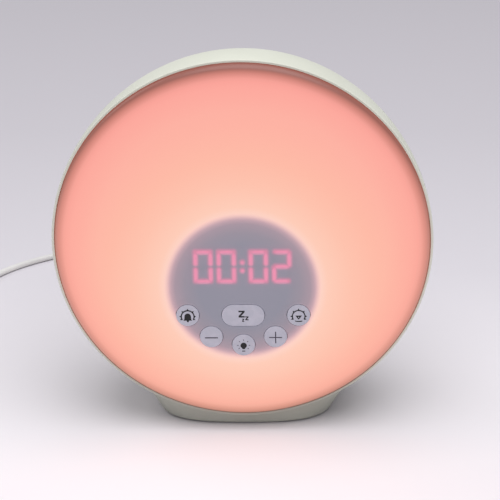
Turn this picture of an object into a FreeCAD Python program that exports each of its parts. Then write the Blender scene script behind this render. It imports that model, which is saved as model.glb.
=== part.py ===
"""Sunrise alarm clock: a round translucent face in a domed housing on an oval foot.

Millimetres, +Z up, the lit face looks towards -Y. The origin is on the floor, under the
middle of the clock's depth. The disc's own pieces are drawn in the disc frame: x to the
right, y to the back, z up along the face, with the middle of the lip plane at zero.
place() then leans them back and lifts them over the foot.
"""
import FreeCAD, Part
import math
import os

V = FreeCAD.Vector

# Disc and housing
LEAN = 5.0                  # how far the face leans back, in degrees
LIP_R = 87.0                # outer radius of the lip round the face
LIP_WIDTH = 1.15            # visible width of the lip
LIP_ROUND = 0.5
LIP_BOTTOM_Z = 6.5          # the lip's lowest point above the floor
LIP_Y = -30.7               # lip plane's middle, so that the depth is centred on the origin
WALL = 2.2
BAND_CURVE = 112.0          # radius of the gentle curve behind the lip
BACK_CURVE = 50.0           # radius of the tighter curve round the back
PARTING_Y = 34.0            # plane where front housing and rear cover meet
LIP_Z = LIP_BOTTOM_Z + LIP_R * math.cos(math.radians(LEAN))

# Foot
FOOT_HALF_WIDTH = 38.5      # at the floor
FOOT_HALF_DEPTH = 29.0
FOOT_TOP_WIDTH = 56.0       # half width of the hidden top, inside the disc
FOOT_TOP_Z = 40.0
FOOT_FLARE_R = 46.0         # hollow curve from the floor up to the disc
LIP_OVERHANG = 3.5          # the lip stands this far in front of the foot
FOOT_GAP = 0.8              # foot's edge above the floor
FOOT_FRONT_POWER = 3.3      # how square the foot's front corners are
FOOT_REAR_POWER = 2.4
FOOT_LEVELS = 5
FOOT_POINTS = 32
FOOT_Y = LIP_Y - LIP_R * math.sin(math.radians(LEAN)) + LIP_OVERHANG + FOOT_HALF_DEPTH

# Diffuser and light box
FIT = 0.3                   # gap between pieces that slip together
OVER = 1.0                  # how far a cut runs past the wall that it goes through
DIFFUSER_WALL = 2.0
DIFFUSER_PROUD = 3.2        # the face stands this far in front of the lip
DIFFUSER_ROUND = 4.0
DIFFUSER_SEAT_Y = 6.0       # ledge that the diffuser's skirt stands on
LIP_INNER_R = LIP_R - LIP_WIDTH
DIFFUSER_R = LIP_INNER_R - FIT
FACE_BACK_Y = DIFFUSER_WALL - DIFFUSER_PROUD
REFLECTOR_SHEET = 1.5
REFLECTOR_FLANGE = 5.2      # width of the ring that the diffuser's skirt stands on
REFLECTOR_TAPER = 9.0
REFLECTOR_RIM_R = LIP_R - WALL - 2 * FIT
REFLECTOR_MOUTH_R = REFLECTOR_RIM_R - REFLECTOR_FLANGE
REFLECTOR_FLOOR_R = REFLECTOR_MOUTH_R - REFLECTOR_TAPER
REFLECTOR_FLOOR_Y = 14.0    # front face of the floor
RIBBON_HOLE_R = 9.0
RIBBON_WIDTH = 10.0
RIBBON_THICK = 0.6
LED_BOARD_WIDTH = 8.5
LED_BOARD_OUT_R = REFLECTOR_FLOOR_R - 5 * FIT
LED_BOARD_IN_R = LED_BOARD_OUT_R - LED_BOARD_WIDTH
BOARD = 1.6                 # thickness of every circuit board
LED_RING_R = LED_BOARD_OUT_R - LED_BOARD_WIDTH / 2
LED_COUNT = 36
LED_SIZE = 3.5
LED_HEIGHT = 1.2
LED_LEAD_R = 0.7
LED_LEAD_ANGLES = (-95.0, -85.0)
LED_LEAD_BEND = 3.0

# Control pod behind the grey zone
POD_Z = -20.8               # centre of the pod below the middle of the face
BEZEL_R = 34.8
BEZEL_SHEET = 1.2
BEZEL_GAP = 0.3             # between the diffuser's back and the bezel
BEZEL_Y = FACE_BACK_Y + BEZEL_GAP
SHROUD_IN_R = 36.0
SHROUD_WALL = 1.4
SHROUD_BOSS_SINK = 0.7      # how far the screw bosses run into the wall
CONTROL_BOARD_Y = 6.0
LEDGE_WIDTH = 2.5
LEDGE_DEPTH = 1.4
BEZEL_POST_R = 1.4
BEZEL_POSTS = ((-14.0, 5.0), (14.0, 5.0), (-19.5, -28.2), (19.5, -28.2))
DIGIT_Z = -12.1             # middle of the digits
DIGIT_HEIGHT = 16.3
DIGIT_WIDTH = 8.8
DIGIT_PITCH = 10.65
COLON_GAP = 14.6            # between the two middle digits
SEGMENT = 1.9
SEGMENT_GAP = 0.35
SEGMENT_RAISE = 0.25
MODULE_MARGIN = 1.6
TIME_SHOWN = "0002"

# Front keys: name, x, z, half width
KEY_R = 5.25
KEY_GAP = 0.3
KEY_FLANGE = 1.0            # the flange is this much wider than the cap all round
KEY_FLANGE_THICK = 0.8
KEY_NUB_R = 1.5
KEY_TRAVEL = 0.45
KEY_STOP = 0.05             # left between a pressed key and its switch
SNOOZE_HALF_WIDTH = 9.8
FRONT_KEYS = {
    "alarm_key": (-25.5, -34.9, KEY_R),
    "snooze_key": (0.0, -34.9, SNOOZE_HALF_WIDTH),
    "sunset_key": (25.5, -34.9, KEY_R),
    "minus_key": (-14.8, -45.6, KEY_R),
    "plus_key": (14.8, -45.6, KEY_R),
    "lamp_key": (0.0, -49.7, KEY_R),
}
SWITCH_SIZE = 6.0
SWITCH_BODY = 2.5
SWITCH_TOP = 1.1

# Screws and posts
SCREW_R = 1.45
SCREW_HEAD_R = 2.9
SCREW_HEAD = 1.8
PILOT_R = 1.5
CLEAR_R = 1.7
HOUSING_SCREW_INSET = 12.0  # from the lip's edge to the circle of the housing screws
HOUSING_SCREW_R = LIP_R - HOUSING_SCREW_INSET
HOUSING_SCREW_ANGLES = (40.0, 140.0, 220.0, 320.0)
HOUSING_POST_R = 4.2
HOUSING_POST_Y = 17.0
HOUSING_SCREW_SEAT_Y = 38.0
HOUSING_SCREW_LENGTH = 14.0
SHROUD_SCREW_LENGTH = 5.5
BOARD_SCREW_LENGTH = 7.0
BASE_SCREW_LENGTH = 7.0
COUNTERBORE_R = 3.3
RIB = 2.4
RIM_RIB_ANGLES = (15.0, 70.0, 110.0, 165.0, 195.0, 345.0)

# Rear: main board, speaker, keys, jack
MAIN_BOARD_Y = 44.0
MAIN_BOARD_HALF_WIDTH = 38.0
MAIN_BOARD_HALF_HEIGHT = 21.0
MAIN_BOARD_Z = -29.0
MAIN_POST_X = 33.0
MAIN_POST_Z = 16.0
MAIN_POST_R = 3.0
MAIN_PILOT_DEPTH = 8.0
# Chips: x, z of the middle, width, height, and how far each stands off the board
CHIPS = ((-20.0, -32.0, 12.0, 12.0, 1.4), (19.0, -31.0, 10.0, 6.0, 1.6),
         (-4.0, -44.0, 8.0, 6.0, 3.0), (15.0, -44.0, 6.0, 6.0, 6.0))
SPEAKER_Z = 8.0
SPEAKER_R = 25.0
SPEAKER_BASKET_R = 21.0
SPEAKER_MAGNET_R = 14.0
SPEAKER_DEPTH = 19.0
MAGNET_HEIGHT = 7.0
GASKET = 0.8
FLANGE = 1.0
CONE_SHEET = 0.5
CONE_GAP = 0.2              # between the cone's rim and the gasket
SPEAKER_SCREW_R = 27.6
SPEAKER_SCREW_ANGLES = (30.0, 150.0, 270.0)
GRILLE_HOLE_R = 1.1
GRILLE_PITCH = 4.6
GRILLE_RINGS = 4
REAR_KEY_R = 3.4
REAR_KEY_Z = -24.5
REAR_KEY_PITCH = 11.5
REAR_KEY_PROUD = 1.0
REAR_KEY_TRAVEL = 0.8
REAR_KEYS = ("clock_set_key", "alarm_set_key", "sound_key", "volume_key")
REAR_BOARD_Y = 58.0
REAR_BOARD_HALF_WIDTH = 28.0
REAR_BOARD_HALF_HEIGHT = 4.6
REAR_SWITCH_BODY = 3.5
REAR_SWITCH_TOP = 0.7
REAR_POST_R = 2.2
REAR_POST_X = REAR_BOARD_HALF_WIDTH - 3.0
JACK_Z = -52.0
JACK_FACE_Y = 60.0          # floor of the jack's recess
JACK_RECESS_R = 6.5
JACK_RECESS_WALL = 1.8
JACK_NOSE_R = 4.0
JACK_NOSE_FIT = 0.1
JACK_BODY = 11.0
JACK_BODY_Y = 47.0
JACK_BORE_R = 2.9
JACK_BORE_DEPTH = 9.5
JACK_PIN_R = 0.95
JACK_PIN_PITCH = 3.0
JACK_PIN_WIDTH = 0.8
JACK_PIN_HEIGHT = 1.0

# Base
BASE_GAP = 0.25             # base plate inside the foot's wall
BASE_Z = 1.0
BASE_THICK = 2.4
BASE_SCREW_X = 18.0
BASE_SCREW_Y = 19.5
BASE_BOSS_R = 3.4
BASE_BOSS_TOP = 12.0
BASE_RIB_TOP = 8.5          # stays under the diffuser
RUBBER_R = 4.5
RUBBER_FIT = 0.1
RUBBER_X = 27.0
RUBBER_Y = 12.5
RUBBER_RECESS = 0.5
CELL_R = 10.0
CELL_THICK = 3.2
CAP_R = 12.0
CAP_PLUG_R = 10.3
CAP_FLANGE = 1.4
CAP_LUG_R = 11.6
CAP_LEDGE = 1.0
CAP_LUG_THICK = 1.1
CAP_LUG_ANGLE = 36.0
CAP_NOTCH_SPARE = 8.0       # the notch is wider than the lug by this angle
CAP_TURN = 60.0
CAP_SLOT_WIDTH = 1.6
CAP_SLOT_LENGTH = 14.0
CAP_SLOT_DEPTH = 0.8
CAP_GAP = 0.2
CUP_WALL = 1.8
CONTACT_WIDTH = 6.0
CONTACT_LENGTH = 16.0
CONTACT_THICK = 0.4

# Cord
CORD_D = 3.0
CORD_Z = 1.6                # centre of the cord on the floor
PLUG_R = 5.0
PLUG_BODY_LENGTH = 17.0
RELIEF_LENGTH = 16.0
RELIEF_START_R = 3.9
RELIEF_END_R = 2.2
PLUG_SLEEVE_R = 2.75
PLUG_SLEEVE_BORE = 1.25
PLUG_GAP = 0.3              # plug body off the recess floor
PLUG_EDGE = 1.0
COIL_TURNS = 3.5            # in each of the two layers
COIL_OUT_R = 25.2
COIL_PITCH = 4.2            # across the layer, from turn to turn
COIL_LAYER = 3.6            # from one layer up to the next
COIL_Z = 2.7
COIL_X = -167.0
COIL_Y = 84.0
LEAD = CORD_D               # straight at each end of a wound tube
RUN_SHARE = 0.45            # part of the shorter run that a corner's arc takes
TIE_WIDTH = 6.0
TIE_THICK = 0.8
TIE_SIDE_GAP = 1.0
TIE_FACE_GAP = 0.35
USB_BODY = (15.0, 26.0, 8.0)
USB_SHELL = (12.0, 12.0, 4.5)
USB_SHELL_WALL = 0.35
USB_TONGUE = 1.8
USB_Z = 4.1
# Points along the cord on the floor, after the two that leave the plug
CORD_ROUTE = (
    (-1.0, 86.0, 24.0),
    (-5.0, 100.0, 10.5),
    (-14.0, 116.0, CORD_Z),
    (-32.0, 135.0, CORD_Z),
    (-58.0, 147.0, CORD_Z),
    (-88.0, 144.0, CORD_Z),
    (-113.0, 133.0, CORD_Z),
    (-132.0, 118.0, CORD_Z),
)
CORD_RUN_IN = 14.0          # last run, straight into the coil
CORD_RUN_OUT = 12.0         # first run, straight out of the plug
TAIL_RUN = 14.0
TAIL_SHIFT = 3.0            # sideways, from the coil to the USB plug

PARTS = {}


def place(shape):
    """Takes a shape from the disc frame to its place over the foot."""
    moved = shape.copy()
    moved.rotate(V(0, 0, 0), V(1, 0, 0), -LEAN)
    moved.translate(V(0, LIP_Y, LIP_Z))
    return moved


def rod(x, z, radius, y0, y1):
    """A cylinder along the disc's depth."""
    return Part.makeCylinder(radius, y1 - y0, V(x, y0, z), V(0, 1, 0))


def post(x, y, radius, z0, z1):
    """An upright cylinder."""
    return Part.makeCylinder(radius, z1 - z0, V(x, y, z0))


def block(x0, x1, y0, y1, z0, z1):
    return Part.makeBox(x1 - x0, y1 - y0, z1 - z0, V(x0, y0, z0))


def turned(outline, x=0.0, z=0.0):
    """Turns an outline of (radius, depth) points round the disc's axis."""
    points = [V(r, y, 0) for r, y in outline]
    face = Part.Face(Part.makePolygon(points + points[:1]))
    solid = face.revolve(V(0, 0, 0), V(0, 1, 0), 360)
    solid.translate(V(x, 0, z))
    return solid


def line(a, b):
    return Part.LineSegment(a, b).toShape()


def arc(a, b, c):
    return Part.Arc(a, b, c).toShape()


def on_circle(centre, radius, angle):
    return V(centre.x + radius * math.cos(angle), centre.y + radius * math.sin(angle), 0)


def around(radius, degrees):
    """The x and z of a point on a circle round the disc's axis."""
    angle = math.radians(degrees)
    return radius * math.cos(angle), radius * math.sin(angle)


def joined(shapes):
    first, *rest = shapes
    return first.multiFuse(rest).removeSplitter() if rest else first


def keep(name, shape):
    """Notes a finished piece, as one solid or a group of solids."""
    solids = shape.Solids
    PARTS[name] = solids[0] if len(solids) == 1 else Part.makeCompound(solids)


# Housing shape

def dome(inset):
    """The disc's outer form, or its hollow when it is inset by the wall."""
    turn = math.asin(PARTING_Y / BAND_CURVE)
    band_centre = V(LIP_R - BAND_CURVE, 0, 0)
    reach = BAND_CURVE - BACK_CURVE
    back_centre = V(band_centre.x + reach * math.cos(turn), reach * math.sin(turn), 0)
    band, back = BAND_CURVE - inset, BACK_CURVE - inset
    front_y = DIFFUSER_SEAT_Y if inset else LIP_ROUND
    start = math.asin(front_y / band)
    a = on_circle(band_centre, band, start)
    b = on_circle(band_centre, band, turn)
    c = on_circle(back_centre, back, math.pi / 2)
    edges = [
        arc(a, on_circle(band_centre, band, (start + turn) / 2), b),
        arc(b, on_circle(back_centre, back, (turn + math.pi / 2) / 2), c),
        line(c, V(0, c.y, 0)),
    ]
    if inset:
        edges += [line(V(0, c.y, 0), V(0, a.y, 0)), line(V(0, a.y, 0), a)]
    else:
        corner = V(a.x - LIP_ROUND, 0, 0)
        middle = on_circle(V(corner.x, LIP_ROUND, 0), LIP_ROUND, -math.pi / 4)
        edges += [line(V(0, c.y, 0), V(0, 0, 0)), line(V(0, 0, 0), corner), arc(corner, middle, a)]
    face = Part.Face(Part.Wire(edges))
    return face.revolve(V(0, 0, 0), V(0, 1, 0), 360)


def back_y():
    """Depth of the flat back, outside."""
    turn = math.asin(PARTING_Y / BAND_CURVE)
    return (BAND_CURVE - BACK_CURVE) * math.sin(turn) + BACK_CURVE


def flare_centre():
    """Centre of the hollow curve that touches the disc and meets the floor at the foot's side."""
    span = math.hypot(FOOT_HALF_WIDTH, LIP_Z)
    total = LIP_R + FOOT_FLARE_R
    along = (total ** 2 - FOOT_FLARE_R ** 2 + span ** 2) / (2 * span)
    across = math.sqrt(total ** 2 - along ** 2)
    ux, uz = FOOT_HALF_WIDTH / span, -LIP_Z / span
    return along * ux - across * uz, LIP_Z + along * uz + across * ux


def foot_outline(z, half_width, inset, depth_growth):
    """One level of the foot: a rounded oval, squarer at the front."""
    points = []
    width = half_width - inset
    depth = FOOT_HALF_DEPTH - inset
    for i in range(FOOT_POINTS):
        angle = 2 * math.pi * i / FOOT_POINTS
        c, s = math.cos(angle), math.sin(angle)
        power = FOOT_FRONT_POWER if s < 0 else FOOT_REAR_POWER
        x = math.copysign(width * abs(c) ** (2 / power), c)
        y = math.copysign((depth + (depth_growth if s > 0 else 0)) * abs(s) ** (2 / power), s)
        points.append(V(x, FOOT_Y + y, z))
    curve = Part.BSplineCurve()
    curve.interpolate(Points=points, PeriodicFlag=True)
    return Part.Wire([curve.toShape()])


def foot(inset, bottom):
    """The foot's form, from the floor up into the disc."""
    cx, cz = flare_centre()
    touch_z = LIP_Z - LIP_R * (LIP_Z - cz) / (LIP_R + FOOT_FLARE_R)
    levels = []
    for i in range(FOOT_LEVELS):
        z = bottom + (touch_z - bottom) * i / (FOOT_LEVELS - 1)
        half_width = cx - math.sqrt(FOOT_FLARE_R ** 2 - (z - cz) ** 2)
        levels.append(foot_outline(z, half_width, inset, 0.0))
    levels.append(foot_outline(FOOT_TOP_Z, FOOT_TOP_WIDTH, inset, DIFFUSER_WALL))
    return Part.makeLoft(levels, True, False)


def boss(x, y0, y1, z, angle, outer):
    """A screw post in the disc with a rib out to the wall."""
    rib = block(0, LIP_R, y0, y1, -RIB / 2, RIB / 2)
    rib = rib.cut(rod(0, 0, HOUSING_SCREW_R, y0, y1))
    rib.rotate(V(0, 0, 0), V(0, 1, 0), -angle)
    return place(joined([rod(x, z, HOUSING_POST_R, y0, y1), rib])).common(outer)


def base_boss(x, side, outer):
    """A screw post in the foot with a rib out to the foot's wall."""
    y = FOOT_Y + side * BASE_SCREW_Y
    bottom = BASE_Z + BASE_THICK
    column = post(x, y, BASE_BOSS_R, bottom, BASE_BOSS_TOP)
    reach = sorted((y, FOOT_Y + side * FOOT_HALF_DEPTH))
    rib = block(x - RIB / 2, x + RIB / 2, reach[0], reach[1], bottom, BASE_RIB_TOP)
    return joined([column, rib]).common(outer)


def housings():
    """Front housing and rear cover: one skin, cut at the parting plane."""
    outer = joined([place(dome(0.0)), foot(0.0, FOOT_GAP)])
    mouth = rod(0, 0, LIP_INNER_R, -DIFFUSER_PROUD, DIFFUSER_SEAT_Y)
    hollow = joined([place(joined([dome(WALL), mouth])), foot(WALL, 0.0)])
    skin = outer.cut(hollow)
    far = 2 * LIP_R
    front_half = place(block(-far, far, -far, PARTING_Y, -far, far))
    rear_half = place(block(-far, far, PARTING_Y, far, -far, far))

    front = [skin.common(front_half)]
    rear = [skin.common(rear_half)]
    front_holes, rear_holes = [], []
    for angle in HOUSING_SCREW_ANGLES:
        x, z = around(HOUSING_SCREW_R, angle)
        front.append(boss(x, HOUSING_POST_Y, PARTING_Y, z, angle, outer))
        rear.append(boss(x, PARTING_Y, back_y(), z, angle, outer))
        front_holes.append(place(rod(x, z, PILOT_R, HOUSING_POST_Y + RIB, PARTING_Y)))
        rear_holes.append(place(rod(x, z, CLEAR_R, PARTING_Y, HOUSING_SCREW_SEAT_Y)))
        rear_holes.append(place(rod(x, z, COUNTERBORE_R, HOUSING_SCREW_SEAT_Y, back_y() + WALL)))
    rib_y = DIFFUSER_SEAT_Y + REFLECTOR_SHEET
    for angle in RIM_RIB_ANGLES:
        rib = block(REFLECTOR_MOUTH_R + REFLECTOR_SHEET + FIT, LIP_R, rib_y, rib_y + WALL, -RIB / 2, RIB / 2)
        rib.rotate(V(0, 0, 0), V(0, 1, 0), -angle)
        front.append(place(rib).common(outer))
    for x in (-BASE_SCREW_X, BASE_SCREW_X):
        for side, group, holes in ((-1, front, front_holes), (1, rear, rear_holes)):
            group.append(base_boss(x, side, outer))
            y = FOOT_Y + side * BASE_SCREW_Y
            holes.append(post(x, y, PILOT_R, BASE_Z + BASE_THICK, BASE_BOSS_TOP - RIB))
    keep("front_housing", joined(front).cut(Part.makeCompound(front_holes)))

    inside_y = back_y() - WALL
    for x in (-MAIN_POST_X, MAIN_POST_X):
        for z in (MAIN_BOARD_Z - MAIN_POST_Z, MAIN_BOARD_Z + MAIN_POST_Z):
            rear.append(place(rod(x, z, MAIN_POST_R, MAIN_BOARD_Y + BOARD, back_y())).common(outer))
            rear_holes.append(place(rod(x, z, PILOT_R, MAIN_BOARD_Y, MAIN_BOARD_Y + BOARD + MAIN_PILOT_DEPTH)))
    for x in (-REAR_POST_X, REAR_POST_X):
        rear.append(place(rod(x, REAR_KEY_Z, REAR_POST_R, REAR_BOARD_Y + BOARD, inside_y + WALL / 2)))
    for angle in SPEAKER_SCREW_ANGLES:
        x, z = around(SPEAKER_SCREW_R, angle)
        start = inside_y - GASKET - FLANGE
        rear.append(place(rod(x, z + SPEAKER_Z, REAR_POST_R, start, inside_y + WALL / 2)))
    cup_r = JACK_RECESS_R + JACK_RECESS_WALL
    rear.append(place(rod(0, JACK_Z, cup_r, JACK_FACE_Y - JACK_RECESS_WALL, back_y())).common(outer))
    rear_holes.append(place(rod(0, JACK_Z, JACK_RECESS_R, JACK_FACE_Y, back_y() + WALL)))
    rear_holes.append(place(rod(0, JACK_Z, JACK_NOSE_R + JACK_NOSE_FIT, JACK_BODY_Y, JACK_FACE_Y)))
    for x in rear_key_places():
        rear_holes.append(place(rod(x, REAR_KEY_Z, REAR_KEY_R + KEY_GAP, inside_y - OVER, back_y() + OVER)))
    for x, z in grille_places():
        rear_holes.append(place(rod(x, z, GRILLE_HOLE_R, inside_y - OVER, back_y() + OVER)))
    keep("rear_cover", joined(rear).cut(Part.makeCompound(rear_holes)))


def rear_key_places():
    middle = (len(REAR_KEYS) - 1) / 2
    return [(i - middle) * REAR_KEY_PITCH for i in range(len(REAR_KEYS))]


def grille_places():
    """Speaker holes in rings, six more holes in each ring outwards."""
    places = [(0.0, SPEAKER_Z)]
    for ring in range(1, GRILLE_RINGS + 1):
        for i in range(6 * ring):
            x, z = around(ring * GRILLE_PITCH, 60.0 * i / ring)
            places.append((x, z + SPEAKER_Z))
    return places


# Light box

def key_prism(x, z, half_width, radius, y0, y1):
    """A round key's body, or a long one with round ends."""
    if half_width <= radius:
        return rod(x, z, radius, y0, y1)
    run = half_width - radius
    middle = block(x - run, x + run, y0, y1, z - radius, z + radius)
    return joined([rod(x - run, z, radius, y0, y1), middle, rod(x + run, z, radius, y0, y1)])


def diffuser():
    round_centre = V(DIFFUSER_R - DIFFUSER_ROUND, DIFFUSER_ROUND - DIFFUSER_PROUD, 0)
    inner_round = DIFFUSER_ROUND - DIFFUSER_WALL
    front, inner = -DIFFUSER_PROUD, DIFFUSER_R - DIFFUSER_WALL
    a = V(round_centre.x, front, 0)
    b = V(DIFFUSER_R, round_centre.y, 0)
    c = V(inner, round_centre.y, 0)
    d = V(round_centre.x, FACE_BACK_Y, 0)
    edges = [
        line(V(0, front, 0), a),
        arc(a, on_circle(round_centre, DIFFUSER_ROUND, -math.pi / 4), b),
        line(b, V(DIFFUSER_R, DIFFUSER_SEAT_Y, 0)),
        line(V(DIFFUSER_R, DIFFUSER_SEAT_Y, 0), V(inner, DIFFUSER_SEAT_Y, 0)),
        line(V(inner, DIFFUSER_SEAT_Y, 0), c),
        arc(c, on_circle(round_centre, inner_round, -math.pi / 4), d),
        line(d, V(0, FACE_BACK_Y, 0)),
        line(V(0, FACE_BACK_Y, 0), V(0, front, 0)),
    ]
    solid = Part.Face(Part.Wire(edges)).revolve(V(0, 0, 0), V(0, 1, 0), 360)
    holes = [key_prism(x, z, half + KEY_GAP, KEY_R + KEY_GAP, front - OVER, FACE_BACK_Y + OVER)
             for x, z, half in FRONT_KEYS.values()]
    keep("diffuser", place(solid.cut(Part.makeCompound(holes))))


def light_box():
    floor_back = REFLECTOR_FLOOR_Y + REFLECTOR_SHEET
    rim_back = DIFFUSER_SEAT_Y + REFLECTOR_SHEET
    dish = turned([
        (0, REFLECTOR_FLOOR_Y), (REFLECTOR_FLOOR_R, REFLECTOR_FLOOR_Y),
        (REFLECTOR_MOUTH_R, DIFFUSER_SEAT_Y), (REFLECTOR_RIM_R, DIFFUSER_SEAT_Y),
        (REFLECTOR_RIM_R, rim_back), (REFLECTOR_MOUTH_R + REFLECTOR_SHEET / 2, rim_back),
        (REFLECTOR_FLOOR_R + REFLECTOR_SHEET / 2, floor_back), (0, floor_back),
    ])
    holes = [rod(0, POD_Z, RIBBON_HOLE_R, REFLECTOR_FLOOR_Y, floor_back)]
    for x, z in shroud_screw_places():
        holes.append(rod(x, z, CLEAR_R, REFLECTOR_FLOOR_Y, floor_back))
    for x, z in led_lead_places():
        holes.append(rod(x, z, CLEAR_R, REFLECTOR_FLOOR_Y, floor_back))
    keep("reflector", place(dish.cut(Part.makeCompound(holes))))

    board_front = REFLECTOR_FLOOR_Y - BOARD
    ring = rod(0, 0, LED_BOARD_OUT_R, board_front, REFLECTOR_FLOOR_Y)
    keep("led_board", place(ring.cut(rod(0, 0, LED_BOARD_IN_R, board_front, REFLECTOR_FLOOR_Y))))
    half = LED_SIZE / 2
    leds = []
    for i in range(LED_COUNT):
        led = block(LED_RING_R - half, LED_RING_R + half, board_front - LED_HEIGHT, board_front, -half, half)
        led.rotate(V(0, 0, 0), V(0, 1, 0), -360.0 * i / LED_COUNT)
        leds.append(place(led))
    keep("leds", Part.makeCompound(leds))


# Control pod

def shroud_screw_places():
    radius = SHROUD_IN_R - CLEAR_R - RIB / 2 + SHROUD_BOSS_SINK
    return [(x, z + POD_Z) for x, z in (around(radius, a) for a in (90.0, 210.0, 330.0))]


def led_lead_places():
    return [around(LED_RING_R, a) for a in LED_LEAD_ANGLES]


def control_pod():
    ledge_y = CONTROL_BOARD_Y + BOARD
    wall_r = SHROUD_IN_R + SHROUD_WALL
    tube = turned([
        (SHROUD_IN_R, BEZEL_Y + BEZEL_SHEET), (wall_r, BEZEL_Y + BEZEL_SHEET),
        (wall_r, REFLECTOR_FLOOR_Y), (SHROUD_IN_R, REFLECTOR_FLOOR_Y),
        (SHROUD_IN_R, ledge_y + LEDGE_DEPTH), (SHROUD_IN_R - LEDGE_WIDTH, ledge_y + LEDGE_DEPTH),
        (SHROUD_IN_R - LEDGE_WIDTH, ledge_y), (SHROUD_IN_R, ledge_y),
    ], 0, POD_Z)
    bosses, pilots = [], []
    for x, z in shroud_screw_places():
        bosses.append(rod(x, z, CLEAR_R + RIB / 2, ledge_y, REFLECTOR_FLOOR_Y))
        pilots.append(rod(x, z, PILOT_R, ledge_y + LEDGE_DEPTH, REFLECTOR_FLOOR_Y))
    keep("control_shroud", place(joined([tube] + bosses).cut(Part.makeCompound(pilots))))

    screws = [screw(x, z, REFLECTOR_FLOOR_Y + REFLECTOR_SHEET, -1, SHROUD_SCREW_LENGTH) for x, z in shroud_screw_places()]
    keep("shroud_screws", place(Part.makeCompound(screws)))

    board = rod(0, POD_Z, SHROUD_IN_R - FIT, CONTROL_BOARD_Y, ledge_y)
    keep("control_board", place(board))

    half_w, half_h = module_half()
    disc = rod(0, POD_Z, BEZEL_R, BEZEL_Y, BEZEL_Y + BEZEL_SHEET)
    window = block(-half_w - FIT, half_w + FIT, BEZEL_Y, BEZEL_Y + BEZEL_SHEET,
                   DIGIT_Z - half_h - FIT, DIGIT_Z + half_h + FIT)
    holes = [window]
    holes += [key_prism(x, z, half + KEY_GAP, KEY_R + KEY_GAP, BEZEL_Y, BEZEL_Y + BEZEL_SHEET)
              for x, z, half in FRONT_KEYS.values()]
    posts = [rod(x, z, BEZEL_POST_R, BEZEL_Y + BEZEL_SHEET, CONTROL_BOARD_Y) for x, z in BEZEL_POSTS]
    keep("display_bezel", place(joined([disc] + posts).cut(Part.makeCompound(holes))))


def module_half():
    """Half width and half height of the digit module."""
    half_width = COLON_GAP / 2 + DIGIT_PITCH + DIGIT_WIDTH / 2 + MODULE_MARGIN
    return half_width, DIGIT_HEIGHT / 2 + MODULE_MARGIN


def segment_bars(x, z):
    """The seven bars of one digit, by name."""
    w, h, g = (DIGIT_WIDTH - SEGMENT) / 2, (DIGIT_HEIGHT - SEGMENT) / 2, SEGMENT_GAP
    across = {"a": h, "g": 0.0, "d": -h}
    bars = {}
    for name, level in across.items():
        bars[name] = bar(x - w + g, z + level, x + w - g, z + level)
    for name, side, low, high in (("f", -1, 0, 1), ("b", 1, 0, 1), ("e", -1, -1, 0), ("c", 1, -1, 0)):
        bars[name] = bar(x + side * w, z + low * h + g, x + side * w, z + high * h - g)
    return bars


def bar(x0, z0, x1, z1):
    """A bar with pointed ends, between two points in the face."""
    half = SEGMENT / 2
    if abs(x1 - x0) > abs(z1 - z0):
        outline = [(x0, z0), (x0 + half, z0 + half), (x1 - half, z0 + half),
                   (x1, z0), (x1 - half, z0 - half), (x0 + half, z0 - half)]
    else:
        outline = [(x0, z0), (x0 + half, z0 + half), (x0 + half, z1 - half),
                   (x0, z1), (x0 - half, z1 - half), (x0 - half, z0 + half)]
    points = [V(px, BEZEL_Y, pz) for px, pz in outline]
    return Part.Face(Part.makePolygon(points + points[:1])).extrude(V(0, SEGMENT_RAISE, 0))


LIT_BARS = {"0": "abcdef", "2": "abged"}


def display():
    half_w, half_h = module_half()
    face_y = BEZEL_Y + SEGMENT_RAISE
    module = block(-half_w, half_w, face_y, CONTROL_BOARD_Y, DIGIT_Z - half_h, DIGIT_Z + half_h)
    keep("digit_module", place(module))
    lit, unlit = [], []
    inner = COLON_GAP / 2
    for digit, x in zip(TIME_SHOWN, (-inner - DIGIT_PITCH, -inner, inner, inner + DIGIT_PITCH)):
        for name, shape in segment_bars(x, DIGIT_Z).items():
            (lit if name in LIT_BARS[digit] else unlit).append(place(shape))
    for z in (DIGIT_Z - DIGIT_HEIGHT / 8, DIGIT_Z + DIGIT_HEIGHT / 8):
        lit.append(place(rod(0, z, SEGMENT / 2, BEZEL_Y, face_y)))
    keep("lit_segments", Part.makeCompound(lit))
    keep("unlit_segments", Part.makeCompound(unlit))


def front_keys():
    flange_y = BEZEL_Y + BEZEL_SHEET + KEY_GAP
    flange_back = flange_y + KEY_FLANGE_THICK
    switch_top = CONTROL_BOARD_Y - SWITCH_BODY - SWITCH_TOP
    half = SWITCH_SIZE / 2
    switches = []
    for name, (x, z, half_width) in FRONT_KEYS.items():
        cap = key_prism(x, z, half_width, KEY_R, -DIFFUSER_PROUD, flange_y)
        flange = key_prism(x, z, half_width + KEY_FLANGE, KEY_R + KEY_FLANGE, flange_y, flange_back)
        nub = rod(x, z, KEY_NUB_R, flange_back, switch_top - KEY_TRAVEL - KEY_STOP)
        keep(name, place(joined([cap, flange, nub])))
        body_y = CONTROL_BOARD_Y - SWITCH_BODY
        body = block(x - half, x + half, body_y, CONTROL_BOARD_Y, z - half, z + half)
        switches.append(place(joined([body, rod(x, z, KEY_NUB_R, switch_top, body_y)])))
    keep("key_switches", Part.makeCompound(switches))


# Fasteners and boards

def screw(x, z, seat_y, direction, length):
    """A pan-head screw along the depth. Its shank runs from the seat in the given direction."""
    head = sorted((seat_y, seat_y - direction * SCREW_HEAD))
    shank = sorted((seat_y, seat_y + direction * length))
    return joined([rod(x, z, SCREW_HEAD_R, *head), rod(x, z, SCREW_R, *shank)])


def housing_screws():
    places = [around(HOUSING_SCREW_R, a) for a in HOUSING_SCREW_ANGLES]
    screws = [screw(x, z, HOUSING_SCREW_SEAT_Y, -1, HOUSING_SCREW_LENGTH) for x, z in places]
    keep("housing_screws", place(Part.makeCompound(screws)))


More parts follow.
